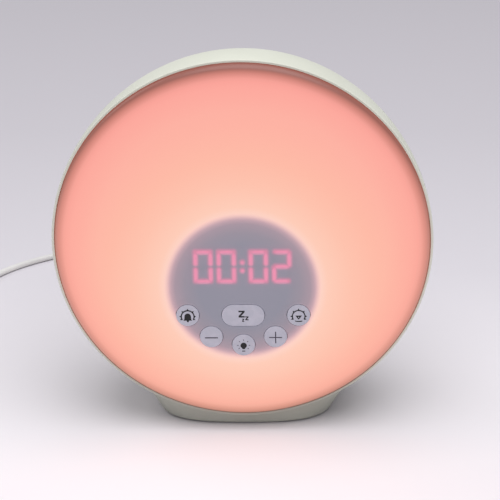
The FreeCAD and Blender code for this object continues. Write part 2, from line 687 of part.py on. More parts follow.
def main_board():
    z0, z1 = MAIN_BOARD_Z - MAIN_BOARD_HALF_HEIGHT, MAIN_BOARD_Z + MAIN_BOARD_HALF_HEIGHT
    board_back = MAIN_BOARD_Y + BOARD
    board = block(-MAIN_BOARD_HALF_WIDTH, MAIN_BOARD_HALF_WIDTH, MAIN_BOARD_Y, board_back, z0, z1)
    holes, screws = [], []
    for x in (-MAIN_POST_X, MAIN_POST_X):
        for z in (MAIN_BOARD_Z - MAIN_POST_Z, MAIN_BOARD_Z + MAIN_POST_Z):
            holes.append(rod(x, z, CLEAR_R, MAIN_BOARD_Y, board_back))
            screws.append(screw(x, z, MAIN_BOARD_Y, 1, BOARD_SCREW_LENGTH))
    keep("main_board", place(board.cut(Part.makeCompound(holes))))
    keep("board_screws", place(Part.makeCompound(screws)))
    chips = [block(x - w / 2, x + w / 2, MAIN_BOARD_Y - off, MAIN_BOARD_Y, z - h / 2, z + h / 2)
             for x, z, w, h, off in CHIPS]
    keep("main_chips", place(Part.makeCompound(chips)))
    ribbon = block(-RIBBON_WIDTH / 2, RIBBON_WIDTH / 2, CONTROL_BOARD_Y + BOARD, MAIN_BOARD_Y,
                   POD_Z - RIBBON_THICK / 2, POD_Z + RIBBON_THICK / 2)
    keep("display_ribbon", place(ribbon))
    r = LED_LEAD_R
    leads = [rod(x, z, r, REFLECTOR_FLOOR_Y, MAIN_BOARD_Y) for x, z in led_lead_places()]
    bends = [block(x - r, x + r, MAIN_BOARD_Y - LED_LEAD_BEND, MAIN_BOARD_Y, z, z0 + 3 * r)
             for x, z in led_lead_places()]
    pairs = [joined([lead, bend]) for lead, bend in zip(leads, bends)]
    keep("led_lead", place(Part.makeCompound(pairs)))


def speaker():
    inside_y = back_y() - WALL
    flange_back = inside_y - GASKET
    flange_front = flange_back - FLANGE
    magnet_back = inside_y - SPEAKER_DEPTH + MAGNET_HEIGHT
    keep("speaker_gasket", place(turned([
        (SPEAKER_BASKET_R, flange_back), (SPEAKER_R, flange_back),
        (SPEAKER_R, inside_y), (SPEAKER_BASKET_R, inside_y)], 0, SPEAKER_Z)))
    keep("speaker_frame", place(turned([
        (SPEAKER_BASKET_R, flange_front), (SPEAKER_R, flange_front), (SPEAKER_R, flange_back),
        (SPEAKER_BASKET_R - FLANGE, flange_back), (SPEAKER_MAGNET_R - FLANGE, magnet_back + FLANGE),
        (0, magnet_back + FLANGE), (0, magnet_back), (SPEAKER_MAGNET_R, magnet_back)], 0, SPEAKER_Z)))
    keep("speaker_magnet", place(rod(0, SPEAKER_Z, SPEAKER_MAGNET_R, magnet_back - MAGNET_HEIGHT, magnet_back)))
    rim_r = SPEAKER_BASKET_R - CONE_GAP
    neck_r = SPEAKER_MAGNET_R / 2
    neck_y = magnet_back + FLANGE
    keep("speaker_cone", place(turned([
        (rim_r, flange_back), (rim_r, flange_back + CONE_SHEET),
        (SPEAKER_BASKET_R - FLANGE, flange_back + CONE_SHEET), (neck_r, neck_y + 2 * CONE_SHEET),
        (0, neck_y + 2 * CONE_SHEET), (0, neck_y), (neck_r, neck_y),
        (SPEAKER_BASKET_R - 3 * FLANGE, flange_back)], 0, SPEAKER_Z)))
    screws = []
    for angle in SPEAKER_SCREW_ANGLES:
        x, z = around(SPEAKER_SCREW_R, angle)
        head = rod(x, z + SPEAKER_Z, REAR_POST_R + FLANGE, flange_front - SCREW_HEAD, flange_front)
        screws.append(place(head))
    keep("speaker_screws", Part.makeCompound(screws))


def rear_keys():
    board_back = REAR_BOARD_Y + BOARD
    keep("rear_key_board", place(block(
        -REAR_BOARD_HALF_WIDTH, REAR_BOARD_HALF_WIDTH, REAR_BOARD_Y, board_back,
        REAR_KEY_Z - REAR_BOARD_HALF_HEIGHT, REAR_KEY_Z + REAR_BOARD_HALF_HEIGHT)))
    screws = [place(rod(x, REAR_KEY_Z, SCREW_HEAD_R, REAR_BOARD_Y - SCREW_HEAD, REAR_BOARD_Y))
              for x in (-REAR_POST_X, REAR_POST_X)]
    keep("rear_key_board_screws", Part.makeCompound(screws))
    half = SWITCH_SIZE / 2
    top = board_back + REAR_SWITCH_BODY + REAR_SWITCH_TOP
    switches = []
    for name, x in zip(REAR_KEYS, rear_key_places()):
        body = block(x - half, x + half, board_back, board_back + REAR_SWITCH_BODY,
                     REAR_KEY_Z - half, REAR_KEY_Z + half)
        stem = rod(x, REAR_KEY_Z, KEY_NUB_R, board_back + REAR_SWITCH_BODY, top)
        switches.append(place(joined([body, stem])))
        flange_back = back_y() - WALL - KEY_GAP
        flange_front = flange_back - KEY_FLANGE_THICK
        cap = rod(x, REAR_KEY_Z, REAR_KEY_R, flange_back, back_y() + REAR_KEY_PROUD)
        flange = rod(x, REAR_KEY_Z, REAR_KEY_R + KEY_FLANGE, flange_front, flange_back)
        nub = rod(x, REAR_KEY_Z, KEY_NUB_R, top + REAR_KEY_TRAVEL + KEY_STOP, flange_front)
        keep(name, place(joined([cap, flange, nub])))
    keep("rear_key_switches", Part.makeCompound(switches))


def dc_jack():
    half = JACK_BODY / 2
    body_back = JACK_FACE_Y - JACK_RECESS_WALL - FIT
    body = block(-half, half, JACK_BODY_Y, body_back, JACK_Z - half, JACK_Z + half)
    nose = rod(0, JACK_Z, JACK_NOSE_R, body_back, JACK_FACE_Y)
    bore = rod(0, JACK_Z, JACK_BORE_R, JACK_FACE_Y - JACK_BORE_DEPTH, JACK_FACE_Y)
    pin = rod(0, JACK_Z, JACK_PIN_R, JACK_FACE_Y - JACK_BORE_DEPTH, JACK_FACE_Y - RIB)
    keep("dc_jack", place(joined([joined([body, nose]).cut(bore), pin])))
    board_z = MAIN_BOARD_Z - MAIN_BOARD_HALF_HEIGHT
    half = JACK_PIN_WIDTH / 2
    pins = [block(x - half, x + half, MAIN_BOARD_Y + BOARD, JACK_BODY_Y,
                  board_z + half, board_z + half + JACK_PIN_HEIGHT)
            for x in (-JACK_PIN_PITCH, 0.0, JACK_PIN_PITCH)]
    keep("jack_pins", place(Part.makeCompound(pins)))


# Base

def base():
    z1 = BASE_Z + BASE_THICK
    inset = WALL + BASE_GAP
    level = foot_outline(BASE_Z, FOOT_HALF_WIDTH, inset, 0.0)
    plate = Part.Face(level).extrude(V(0, 0, BASE_THICK))
    ledge_top = BASE_Z + CAP_FLANGE + CAP_GAP + CAP_LEDGE
    lug_top = ledge_top + CAP_GAP + CAP_LUG_THICK
    cell_z = lug_top + CAP_GAP
    contact_z = cell_z + CELL_THICK + CAP_GAP / 2
    ceiling = contact_z + CONTACT_THICK
    bore_r = CAP_LUG_R + FIT
    cup = post(0, FOOT_Y, CAP_R + FIT + CUP_WALL, BASE_Z, ceiling + REFLECTOR_SHEET)
    hollow = joined([
        post(0, FOOT_Y, CAP_R + FIT, BASE_Z, BASE_Z + CAP_FLANGE + CAP_GAP),
        post(0, FOOT_Y, CAP_PLUG_R + FIT, BASE_Z, ledge_top),
        post(0, FOOT_Y, bore_r, ledge_top, cell_z),
        post(0, FOOT_Y, CELL_R + FIT, cell_z, ceiling),
    ])
    notches = [lug(turn, bore_r, CAP_LUG_ANGLE + CAP_NOTCH_SPARE, BASE_Z, ledge_top)
               for turn in (CAP_TURN, CAP_TURN + 180.0)]
    holes = [hollow] + notches
    feet, screws = [], []
    for sx in (-1, 1):
        for sy in (-1, 1):
            x, y = sx * BASE_SCREW_X, FOOT_Y + sy * BASE_SCREW_Y
            holes.append(post(x, y, CLEAR_R, BASE_Z, z1))
            holes.append(post(x, y, COUNTERBORE_R, BASE_Z, BASE_Z + BASE_THICK / 2))
            seat = BASE_Z + BASE_THICK / 2
            screws.append(joined([post(x, y, SCREW_HEAD_R, BASE_Z, seat),
                                  post(x, y, SCREW_R, seat, seat + BASE_SCREW_LENGTH)]))
            fx, fy = sx * RUBBER_X, FOOT_Y + sy * RUBBER_Y
            holes.append(post(fx, fy, RUBBER_R + RUBBER_FIT, BASE_Z, BASE_Z + RUBBER_RECESS))
            feet.append(post(fx, fy, RUBBER_R, 0, BASE_Z + RUBBER_RECESS))
    keep("base_plate", joined([plate, cup]).cut(Part.makeCompound(holes)))
    keep("rubber_feet", Part.makeCompound(feet))
    keep("base_screws", Part.makeCompound(screws))
    keep("coin_cell", post(0, FOOT_Y, CELL_R, cell_z, cell_z + CELL_THICK))
    keep("cell_contact", block(-CONTACT_WIDTH / 2, CONTACT_WIDTH / 2, FOOT_Y - CONTACT_LENGTH / 2,
                               FOOT_Y + CONTACT_LENGTH / 2, contact_z, ceiling))

    flange = post(0, FOOT_Y, CAP_R, BASE_Z, BASE_Z + CAP_FLANGE)
    plug = post(0, FOOT_Y, CAP_PLUG_R, BASE_Z, lug_top)
    lugs = [lug(turn, CAP_LUG_R, CAP_LUG_ANGLE, ledge_top + CAP_GAP, lug_top) for turn in (0.0, 180.0)]
    slot = block(-CAP_SLOT_LENGTH / 2, CAP_SLOT_LENGTH / 2, FOOT_Y - CAP_SLOT_WIDTH / 2,
                 FOOT_Y + CAP_SLOT_WIDTH / 2, BASE_Z, BASE_Z + CAP_SLOT_DEPTH)
    keep("battery_cap", joined([flange, plug] + lugs).cut(slot))


def lug(turn, radius, spread, z0, z1):
    """A sector of a disc, centred on the angle turn."""
    sector = Part.makeCylinder(radius, z1 - z0, V(0, 0, z0), V(0, 0, 1), spread)
    sector.rotate(V(0, 0, 0), V(0, 0, 1), turn - spread / 2)
    sector.translate(V(0, FOOT_Y, 0))
    return sector


# Cord

def dc_plug():
    body_y = JACK_FACE_Y + PLUG_GAP
    relief_y = body_y + PLUG_BODY_LENGTH
    end_y = relief_y + RELIEF_LENGTH
    body = turned([
        (0, body_y), (PLUG_R - PLUG_EDGE, body_y), (PLUG_R, body_y + PLUG_EDGE), (PLUG_R, relief_y - 2 * PLUG_EDGE),
        (RELIEF_START_R, relief_y), (RELIEF_END_R, end_y), (0, end_y)], 0, JACK_Z)
    keep("dc_plug_body", place(body))
    sleeve_y = JACK_FACE_Y - JACK_BORE_DEPTH + PLUG_GAP
    sleeve = rod(0, JACK_Z, PLUG_SLEEVE_R, sleeve_y, body_y)
    keep("dc_plug_barrel", place(sleeve.cut(rod(0, JACK_Z, PLUG_SLEEVE_BORE, sleeve_y, body_y))))
    start = place(Part.Vertex(0, end_y, JACK_Z)).Point
    ahead = place(Part.Vertex(0, end_y + CORD_RUN_OUT, JACK_Z)).Point
    return V(*start), V(*ahead)


def rounded_path(name, points):
    """Straight runs joined by tangent arcs, each as large as its two runs allow."""
    edges, radii, at = [], [], points[0]
    for before, corner, after in zip(points, points[1:], points[2:]):
        came, goes = corner - before, after - corner
        shorter = min(came.Length, goes.Length)
        turn = came.getAngle(goes)
        cut = RUN_SHARE * shorter
        radius = cut / math.tan(turn / 2)
        start = corner - came.normalize() * cut
        end = corner + goes.normalize() * cut
        inward = (start + end) * 0.5 - corner
        to_centre = math.hypot(cut, radius)
        middle = corner + inward.normalize() * (to_centre - radius)
        edges += [line(at, start), arc(start, middle, end)]
        radii.append(round(radius, 1))
        at = end
    edges.append(line(at, points[-1]))
    print(name, "arc radii", radii)
    return Part.Wire(edges)


def tube(name, path, start, direction):
    """A round cord along a path. It prints how near its volume is to section times length."""
    ring = Part.Wire([Part.Circle(start, direction, CORD_D / 2).toShape()])
    solid = path.makePipeShell([ring], True, False)
    share = solid.Volume / (math.pi * CORD_D ** 2 / 4 * path.Length)
    print(name, "length", round(path.Length, 1), "volume share", round(share, 4), "valid", solid.isValid())
    return solid


def coil_point(turns):
    """A place and direction on the wound cord, after so many turns."""
    inner = COIL_OUT_R - COIL_PITCH * COIL_TURNS
    if turns <= COIL_TURNS:
        radius, slope, z = COIL_OUT_R - COIL_PITCH * turns, -COIL_PITCH, COIL_Z
    else:
        beyond = max(0.0, turns - COIL_TURNS - 0.5)
        radius, slope, z = inner + COIL_PITCH * beyond, COIL_PITCH, COIL_Z + COIL_LAYER
    if COIL_TURNS - 0.01 < turns < COIL_TURNS + 0.51:
        radius, slope = inner, 0.0
    if turns in (0.0, 2 * COIL_TURNS + 0.5):
        slope = 0.0
    angle = -2 * math.pi * turns
    c, s = math.cos(angle), math.sin(angle)
    step = slope / (2 * math.pi)
    direction = V(radius * s + step * c, -radius * c + step * s, 0).normalize()
    return V(COIL_X + radius * c, COIL_Y + radius * s, z), direction


def biarc(p, t, q, u):
    """Two arcs that join p, heading t, to q, heading u."""
    v, both = q - p, t + u
    a = 2 * (1 - t.dot(u))
    b = v.dot(both)
    d = (-b + math.sqrt(b * b + a * v.dot(v))) / a
    first, second = p + t * d, q - u * d
    joint = (first + second) * 0.5
    return [tangent_arc(p, first, joint), tangent_arc(joint, second, q)]


def tangent_arc(p, corner, q):
    """The arc from p to q whose end tangents meet at the corner."""
    chord_middle = (p + q) * 0.5
    rise = corner - chord_middle
    half_chord = (q - p).Length / 2
    sagitta = half_chord * math.tan(math.atan2(rise.Length, half_chord) / 2)
    return arc(p, chord_middle + rise.normalize() * sagitta, q)


def least_gap(path):
    """The wound cord's least distance to itself, surface to surface."""
    step = 1.0
    points = path.discretize(Distance=step)
    skip = int(6 * CORD_D / step)
    least = min((a - b).Length for i, a in enumerate(points) for b in points[i + skip:])
    return least - CORD_D


def cord():
    start, ahead = dc_plug()
    coil_in, coil_in_direction = coil_point(0.0)
    coil_out, coil_out_direction = coil_point(2 * COIL_TURNS + 0.5)
    lead_in = coil_in - coil_in_direction * LEAD
    lead_out = coil_out + coil_out_direction * LEAD

    points = [start, ahead] + [V(*p) for p in CORD_ROUTE]
    points += [lead_in - coil_in_direction * CORD_RUN_IN, lead_in]
    keep("power_cord", tube("power_cord", rounded_path("power_cord", points), start, ahead - start))

    edges = [line(lead_in, coil_in)]
    steps = int(round(2 * (2 * COIL_TURNS + 0.5)))
    for i in range(steps):
        edges += biarc(*coil_point(i / 2), *coil_point((i + 1) / 2))
    edges.append(line(coil_out, lead_out))
    path = Part.Wire(edges)
    print("cord_coil least gap", round(least_gap(path), 2))
    keep("cord_coil", tube("cord_coil", path, lead_in, coil_in_direction))

    plug_y = lead_out.y + 3 * TAIL_RUN
    plug_x = lead_out.x + TAIL_SHIFT
    tail = [lead_out, lead_out + coil_out_direction * TAIL_RUN,
            V(plug_x, plug_y - TAIL_RUN, USB_Z), V(plug_x, plug_y, USB_Z)]
    keep("cord_tail", tube("cord_tail", rounded_path("cord_tail", tail), lead_out, coil_out_direction))
    usb_plug(plug_x, plug_y)
    cord_tie()


def usb_plug(x, y):
    width, length, height = USB_BODY
    body = block(x - width / 2, x + width / 2, y, y + length, USB_Z - height / 2, USB_Z + height / 2)
    upright = [e for e in body.Edges if abs(e.Vertexes[0].X - e.Vertexes[1].X) < 1e-6
               and abs(e.Vertexes[0].Z - e.Vertexes[1].Z) < 1e-6]
    keep("usb_plug_body", body.makeFillet(height / 4, upright))
    width, shell, height = USB_SHELL
    y0, y1 = y + length, y + length + shell
    wall = USB_SHELL_WALL
    outside = block(x - width / 2, x + width / 2, y0, y1, USB_Z - height / 2, USB_Z + height / 2)
    inside = block(x - width / 2 + wall, x + width / 2 - wall, y0, y1,
                   USB_Z - height / 2 + wall, USB_Z + height / 2 - wall)
    keep("usb_plug_shell", outside.cut(inside))
    keep("usb_plug_tongue", block(x - width / 2 + wall, x + width / 2 - wall, y0, y1 - wall,
                                  USB_Z + height / 2 - wall - USB_TONGUE, USB_Z + height / 2 - wall))


def cord_tie():
    """A band round all the turns, on the side away from the clock's cord."""
    nearest = COIL_OUT_R - COIL_PITCH * (COIL_TURNS - 0.25) - CORD_D / 2 - TIE_SIDE_GAP
    furthest = COIL_OUT_R - COIL_PITCH * 0.25 + CORD_D / 2 + TIE_SIDE_GAP
    low = COIL_Z - CORD_D / 2 - TIE_FACE_GAP
    high = COIL_Z + COIL_LAYER + CORD_D / 2 + TIE_FACE_GAP
    half, t = TIE_WIDTH / 2, TIE_THICK
    outside = block(COIL_X - half, COIL_X + half, COIL_Y - furthest - t, COIL_Y - nearest + t,
                    low - t, high + t)
    inside = block(COIL_X - half, COIL_X + half, COIL_Y - furthest, COIL_Y - nearest, low, high)
    keep("cord_tie", outside.cut(inside))


def main():
    housings()
    diffuser()
    light_box()
    control_pod()
    display()
    front_keys()
    housing_screws()
    main_board()
    speaker()
    rear_keys()
    dc_jack()
    base()
    cord()
    os.makedirs("parts", exist_ok=True)
    for name, shape in PARTS.items():
        shape.exportStep(f"parts/{name}.step")
    bad = [name for name, shape in PARTS.items() if not shape.isValid()]
    print(len(PARTS), "pieces, not valid:", bad)


main()
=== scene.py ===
# %% [markdown]
# # Sunrise alarm clock
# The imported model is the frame: every shape below sits in it, in metres, with the lit face towards -Y.
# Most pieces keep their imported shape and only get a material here, because the shapes were
# drawn as real moulded parts. New shapes are the cord, a skin for the foot's wide flare and
# the small printed signs.

# %% Load the frame
import math
import bpy
from mathutils import Matrix, Vector


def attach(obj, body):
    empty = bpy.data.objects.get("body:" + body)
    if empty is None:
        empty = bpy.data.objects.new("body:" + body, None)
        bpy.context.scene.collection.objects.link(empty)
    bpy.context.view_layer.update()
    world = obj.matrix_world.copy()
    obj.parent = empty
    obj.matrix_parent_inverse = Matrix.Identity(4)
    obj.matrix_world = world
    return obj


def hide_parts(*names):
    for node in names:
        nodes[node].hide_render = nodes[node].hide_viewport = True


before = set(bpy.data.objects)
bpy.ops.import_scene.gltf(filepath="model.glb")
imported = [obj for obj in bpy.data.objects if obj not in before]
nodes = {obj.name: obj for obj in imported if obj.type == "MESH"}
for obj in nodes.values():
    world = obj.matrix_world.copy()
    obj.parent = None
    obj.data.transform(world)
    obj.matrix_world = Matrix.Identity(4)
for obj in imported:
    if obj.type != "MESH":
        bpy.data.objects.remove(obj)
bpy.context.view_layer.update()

# %% [markdown]
# ## Places
# The face leans back by five degrees, so most positions on it are easier to give in the disc's
# own frame: x to the right, y to the back and z up along the face, in millimetres from the
# middle of the lip. `on_disc` turns such a point into the frame of the whole clock.

# %% The disc's own frame
LEAN = math.radians(5.0)
LIP_Y, LIP_R = -30.7, 87.0
LIP_Z = 6.5 + LIP_R * math.cos(LEAN)
POD_Z = -20.8
FACE_Y = -3.2
BACK_Y = 68.82
MM = 1000


def on_disc(x, y, z):
    """A point of the disc's own frame, turned into the clock's frame in metres."""
    c, s = math.cos(LEAN), math.sin(LEAN)
    return Vector((x, LIP_Y + y * c + z * s, LIP_Z - y * s + z * c)) / MM


print("middle of the face, m", [round(v, 4) for v in on_disc(0, FACE_Y, 0)])

# %% [markdown]
# ## Camera
# The camera looks down by about 27 degrees from 1.2 m, a little from the right. Its place and
# lens were solved from the outline of the face, the keys and the foot in the photograph.

# %% The camera
DISTANCE, FOCUS_PX, PICTURE_PX, SENSOR = 1.2, 2632.0, 500, 36.0
AIM_X, AIM_BELOW = 3.517, 3.987
YAW, PITCH, ROLL = (math.radians(a) for a in (2.039, 26.861, -1.109))
away = Vector((math.sin(YAW) * math.cos(PITCH), -math.cos(YAW) * math.cos(PITCH), math.sin(PITCH)))
right = (-away).cross(Vector((0, 0, 1))).normalized()
up = right.cross(-away)
across = right * math.cos(ROLL) + up * math.sin(ROLL)
upward = up * math.cos(ROLL) - right * math.sin(ROLL)
aim = Vector((AIM_X, LIP_Y, LIP_Z - AIM_BELOW)) / MM

camera = bpy.data.objects.new("camera", bpy.data.cameras.new("camera"))
camera.data.sensor_width = SENSOR
camera.data.lens = FOCUS_PX / PICTURE_PX * SENSOR
camera.data.clip_start, camera.data.clip_end = 0.05, 20.0
turn = Matrix((across, upward, away)).transposed().to_4x4()
camera.matrix_world = Matrix.Translation(aim + away * DISTANCE) @ turn
bpy.context.scene.collection.objects.link(camera)
bpy.context.scene.camera = camera
print("camera at", [round(v, 3) for v in camera.location], "lens", round(camera.data.lens, 1))

# %% [markdown]
# ## Power cord
# A thin soft lead leaves the jack low on the back, sinks to the table in a short slope and
# runs in one loose curve past the clock's left side. The rest, which the photograph doesn't
# show, lies wound in two flat layers beside the clock with its plug next to it.
# One smooth curve goes through all of it, because the real lead is one piece.

# %% The cord
CORD_D = 3.0
COIL = dict(x=-167.0, y=84.0, z=2.7, out=25.2, pitch=4.2, layer=3.6, turns=3.5)


def wound(turns):
    """A point of the coil after so many turns: in on the lower layer, out on the upper one."""
    inner = COIL["out"] - COIL["pitch"] * COIL["turns"]
    beyond = max(0.0, turns - COIL["turns"] - 0.5)
    radius = max(inner, COIL["out"] - COIL["pitch"] * turns) + COIL["pitch"] * beyond
    climb = min(1.0, max(0.0, (turns - COIL["turns"]) * 2))
    angle = -2 * math.pi * turns
    return (COIL["x"] + radius * math.cos(angle), COIL["y"] + radius * math.sin(angle),
            COIL["z"] + COIL["layer"] * climb)


route = [
    (0.0, 57.71, 33.24), (0.0, 69.67, 32.19), (-1.0, 86.0, 24.0), (-5.0, 100.0, 10.5),
    (-14.0, 116.0, 1.6), (-32.0, 135.0, 1.6), (-58.0, 147.0, 1.6), (-88.0, 144.0, 1.6),
    (-113.0, 133.0, 1.6), (-132.0, 118.0, 1.6), (-141.8, 101.0, 2.7), (-141.8, 90.5, 2.7),
]
TURN_STEPS = 16
turns_all = 2 * COIL["turns"] + 0.5
route += [wound(i / TURN_STEPS) for i in range(int(turns_all * TURN_STEPS) + 1)]
route += [(-192.2, 87.5, 6.3), (-192.2, 101.0, 6.3), (-189.2, 115.0, 4.1), (-189.2, 129.0, 4.1)]

curve = bpy.data.curves.new("power_cord_line", "CURVE")
curve.dimensions = "3D"
spline = curve.splines.new("NURBS")
spline.points.add(len(route) - 1)
# Each point's radius gives the tube its thickness; the bevel only multiplies it by one.
for point, (x, y, z) in zip(spline.points, route):
    point.co = (x / MM, y / MM, z / MM, 1.0)
    point.radius = CORD_D / 2 / MM
spline.order_u = 3
spline.use_endpoint_u = True
spline.resolution_u = 8
curve.bevel_depth = 1.0
curve.bevel_resolution = 6
curve.resolution_u = 8
curve.use_fill_caps = True
cord = bpy.data.objects.new("lead", curve)
bpy.context.scene.collection.objects.link(cord)
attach(cord, "clock")
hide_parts("power_cord", "cord_coil", "cord_tail")
[v / 1000 for v in route[0]]
print("cord:", len(route), "points")

# %% [markdown]
# ## Materials
# Each finish is a small procedural node tree. `Net` writes one as plain formulas: a socket can
# be added, multiplied or compared, and each operation becomes a node. Moulded plastics get a
# very fine grain in their bump and a slow drift in their roughness, as real mouldings have.


# %% A short way to write node trees
class Value:
    """A number that a node tree works out for each point of a surface."""

    def __init__(self, net, socket):
        self.net, self.socket = net, socket

    def __add__(self, other):
        return self.net.math("ADD", self, other)

    def __sub__(self, other):
        return self.net.math("SUBTRACT", self, other)

    def __mul__(self, other):
        return self.net.math("MULTIPLY", self, other)

    def at_least(self, other):
        return self.net.math("MAXIMUM", self, other)

    def at_most(self, other):
        return self.net.math("MINIMUM", self, other)

    def size(self):
        return self.net.math("ABSOLUTE", self, 0.0)

    def fall(self, full, none):
        """1 up to full, then smoothly down to 0 at none."""
        node = self.net.add("ShaderNodeMapRange")
        node.interpolation_type = "SMOOTHSTEP"
        self.net.feed(node.inputs["Value"], self)
        for name, value in (("From Min", full), ("From Max", none), ("To Min", 1.0), ("To Max", 0.0)):
            node.inputs[name].default_value = value
        return Value(self.net, node.outputs[0])


class Net:
    """Builds one material's node tree round its Principled shader."""

    def __init__(self, name):
        self.material = bpy.data.materials.new(name)
        self.material.use_nodes = True
        self.tree = self.material.node_tree
        self.shader = self.tree.nodes["Principled BSDF"]
        self.output = self.tree.nodes["Material Output"]
        self.place = self.add("ShaderNodeTexCoord").outputs["Object"]

    def add(self, kind):
        return self.tree.nodes.new(kind)

    def feed(self, socket, value):
        if isinstance(value, Value):
            value = value.socket
        if isinstance(value, bpy.types.NodeSocket):
            self.tree.links.new(value, socket)
        else:
            socket.default_value = value

    def math(self, kind, a, b):
        node = self.add("ShaderNodeMath")
        node.operation = kind
        self.feed(node.inputs[0], a)
        self.feed(node.inputs[1], b)
        return Value(self, node.outputs[0])

    def length(self, a, b):
        return self.math("SQRT", a * a + b * b, 0.0)

    def set(self, **sockets):
        for name, value in sockets.items():
            self.feed(self.shader.inputs[name.replace("_", " ")], value)

    def disc_place(self):
        """x, depth and height of each point in the disc's own frame, in millimetres."""
        node = self.add("ShaderNodeMapping")
        node.vector_type = "TEXTURE"
        node.inputs["Location"].default_value = (0, LIP_Y / 1000, LIP_Z / 1000)
        node.inputs["Rotation"].default_value = (-LEAN, 0, 0)
        node.inputs["Scale"].default_value = (0.001,) * 3
        self.feed(node.inputs["Vector"], self.place)
        parts = self.add("ShaderNodeSeparateXYZ")
        self.feed(parts.inputs[0], node.outputs[0])
        return [Value(self, out) for out in parts.outputs]

    def noise(self, size, detail=2.0):
        """Even noise whose blotches are about size metres across."""
        node = self.add("ShaderNodeTexNoise")
        self.feed(node.inputs["Vector"], self.place)
        node.inputs["Scale"].default_value = 1.0 / size
        node.inputs["Detail"].default_value = detail
        return Value(self, node.outputs[0])

    def ramp(self, value, stops):
        """Colours by value: stops are (value, colour), colours as written in a picture, 0 to 255."""
        node = self.add("ShaderNodeValToRGB")
        low, high = stops[0][0], stops[-1][0]
        span = self.math("MULTIPLY", value - low, 1.0 / (high - low))
        self.feed(node.inputs[0], span)
        line = node.color_ramp.elements
        while len(line) < len(stops):
            line.new(0.5)
        for element, (at, colour) in zip(line, stops):
            element.position = (at - low) / (high - low)
            element.color = shown(*colour)
        return node.outputs[0]

    def blend(self, amount, a, b, kind="MIX"):
        node = self.add("ShaderNodeMix")
        node.data_type, node.blend_type = "RGBA", kind
        self.feed(node.inputs[0], amount)
        self.feed(node.inputs[6], a)
        self.feed(node.inputs[7], b)
        return node.outputs[2]

    def bump(self, height, depth, strength=1.0):
        node = self.add("ShaderNodeBump")
        node.inputs["Distance"].default_value = depth
        node.inputs["Strength"].default_value = strength
        self.feed(node.inputs["Height"], height)
        self.feed(self.shader.inputs["Normal"], node.outputs[0])


def shown(r, g, b):
    """A colour as written in a picture, turned into the linear values that shaders use."""
    def linear(v):
        v = v / 255
        return v / 12.92 if v <= 0.04045 else ((v + 0.055) / 1.055) ** 2.4
    return (linear(r), linear(g), linear(b), 1.0)


SHADE_FULL, SHADE_NONE = 0.008, 0.04
COLOUR_DRIFT = 0.03


def moulded(name, colour, other, roughness=0.5, grain=0.00035, depth=0.00002, low_shade=1.0):
    """Moulded plastic: two near colours that drift, and a fine grain.

    low_shade under 1 paints shade on the part near the table: its colour is darkened, in full up to
    SHADE_FULL metres.
    """
    net = Net(name)
    slow = net.noise(COLOUR_DRIFT, 3.0)
    paint = net.blend(slow.fall(0.65, 0.35), shown(*colour), shown(*other))
    # Painted shade: near the table the colour is multiplied darker.
    if low_shade < 1.0:
        parts = net.add("ShaderNodeSeparateXYZ")
        net.feed(parts.inputs[0], net.place)
        low = Value(net, parts.outputs[2]).fall(SHADE_FULL, SHADE_NONE)
        paint = net.blend(low, paint, net.blend(1.0, paint, (low_shade,) * 3 + (1,), "MULTIPLY"))
    net.set(Base_Color=paint, Roughness=slow * 0.12 + (roughness - 0.06))
    net.bump(net.noise(grain, 3.0), depth, 0.35)
    return net.material


def wear(material, *names):
    """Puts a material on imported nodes, whose shapes stay as they are."""
    for name in names:
        for slot in nodes[name].material_slots:
            slot.material = material


print("tools for materials are ready")

# %% [markdown]
# ## Housing
# The band, foot and back are one creamy grey-green plastic with a fine matt grain, so that
# lamps only leave wide soft highlights on it. Its colour drifts very slightly over the form,
# and low on the foot a painted shade darkens it, where the table keeps light away.

# %% Housing plastic
# The foot gets painted shade near the table through low_shade.
housing = moulded("housing_plastic", (229, 231, 217), (224, 226, 212), roughness=0.52,
                  low_shade=0.62)
wear(housing, "front_housing", "rear_cover", "base_plate", "battery_cap")
print("housing plastic on 4 nodes")

# %% [markdown]
# ## Flare of the foot
# The photograph shows the foot widening in a long, almost straight sweep until it meets the
# disc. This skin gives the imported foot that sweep: rounded outlines, one for each height, are
# joined into a surface, and what would lie inside the disc is left out.

# %% Outline of the flare
FOOT_Y, FOOT_DEPTH, FOOT_WIDTH, FLARE_R = -5.78, 29.08, 40.5, 300.0
FRONT_POWER, REAR_POWER = 3.3, 2.4
RING_POINTS = 160
BAND_DEPTH, BAND_BOW = 34.0, 112.0
DOME_AXIS, DOME_ARC, DOME_START = 34.07, 50.0, 18.82


def flare_width(height):
    """Half width of the foot at a height: a wide arc that meets the disc without a corner."""
    span = math.hypot(FOOT_WIDTH, LIP_Z)
    total = LIP_R + FLARE_R
    along = (total ** 2 - FLARE_R ** 2 + span ** 2) / (2 * span)
    side = math.sqrt(total ** 2 - along ** 2)
    cx = (along * FOOT_WIDTH + side * LIP_Z) / span
    cz = LIP_Z + (side * FOOT_WIDTH - along * LIP_Z) / span
    return cx - math.sqrt(FLARE_R ** 2 - (height - cz) ** 2)


def foot_ring(height, half_width, half_depth):
    """One level outline of the foot: squarer in front, rounder behind."""
    ring = []
    for i in range(RING_POINTS):
        angle = 2 * math.pi * i / RING_POINTS
        c, s = math.cos(angle), math.sin(angle)
        power = FRONT_POWER if s < 0 else REAR_POWER
        ring.append((math.copysign(half_width * abs(c) ** (2 / power), c),
                     FOOT_Y + math.copysign(half_depth * abs(s) ** (2 / power), s), height))
    return ring


def disc_radius(depth):
    """Outer radius of the disc at a depth behind the lip."""
    if depth < BAND_DEPTH:
        return LIP_R - BAND_BOW + math.sqrt(BAND_BOW ** 2 - depth ** 2)
    return DOME_AXIS + math.sqrt(max(0.0, DOME_ARC ** 2 - (depth - DOME_START) ** 2))


print("half width of the foot:", [round(flare_width(height), 1) for height in (0, 10, 20, 30)])

# %% [markdown]
# The skin starts a little above the table, turns up through a small edge and then climbs in
# steps of one millimetre. Its top rings run into the disc, and only faces outside it are kept.

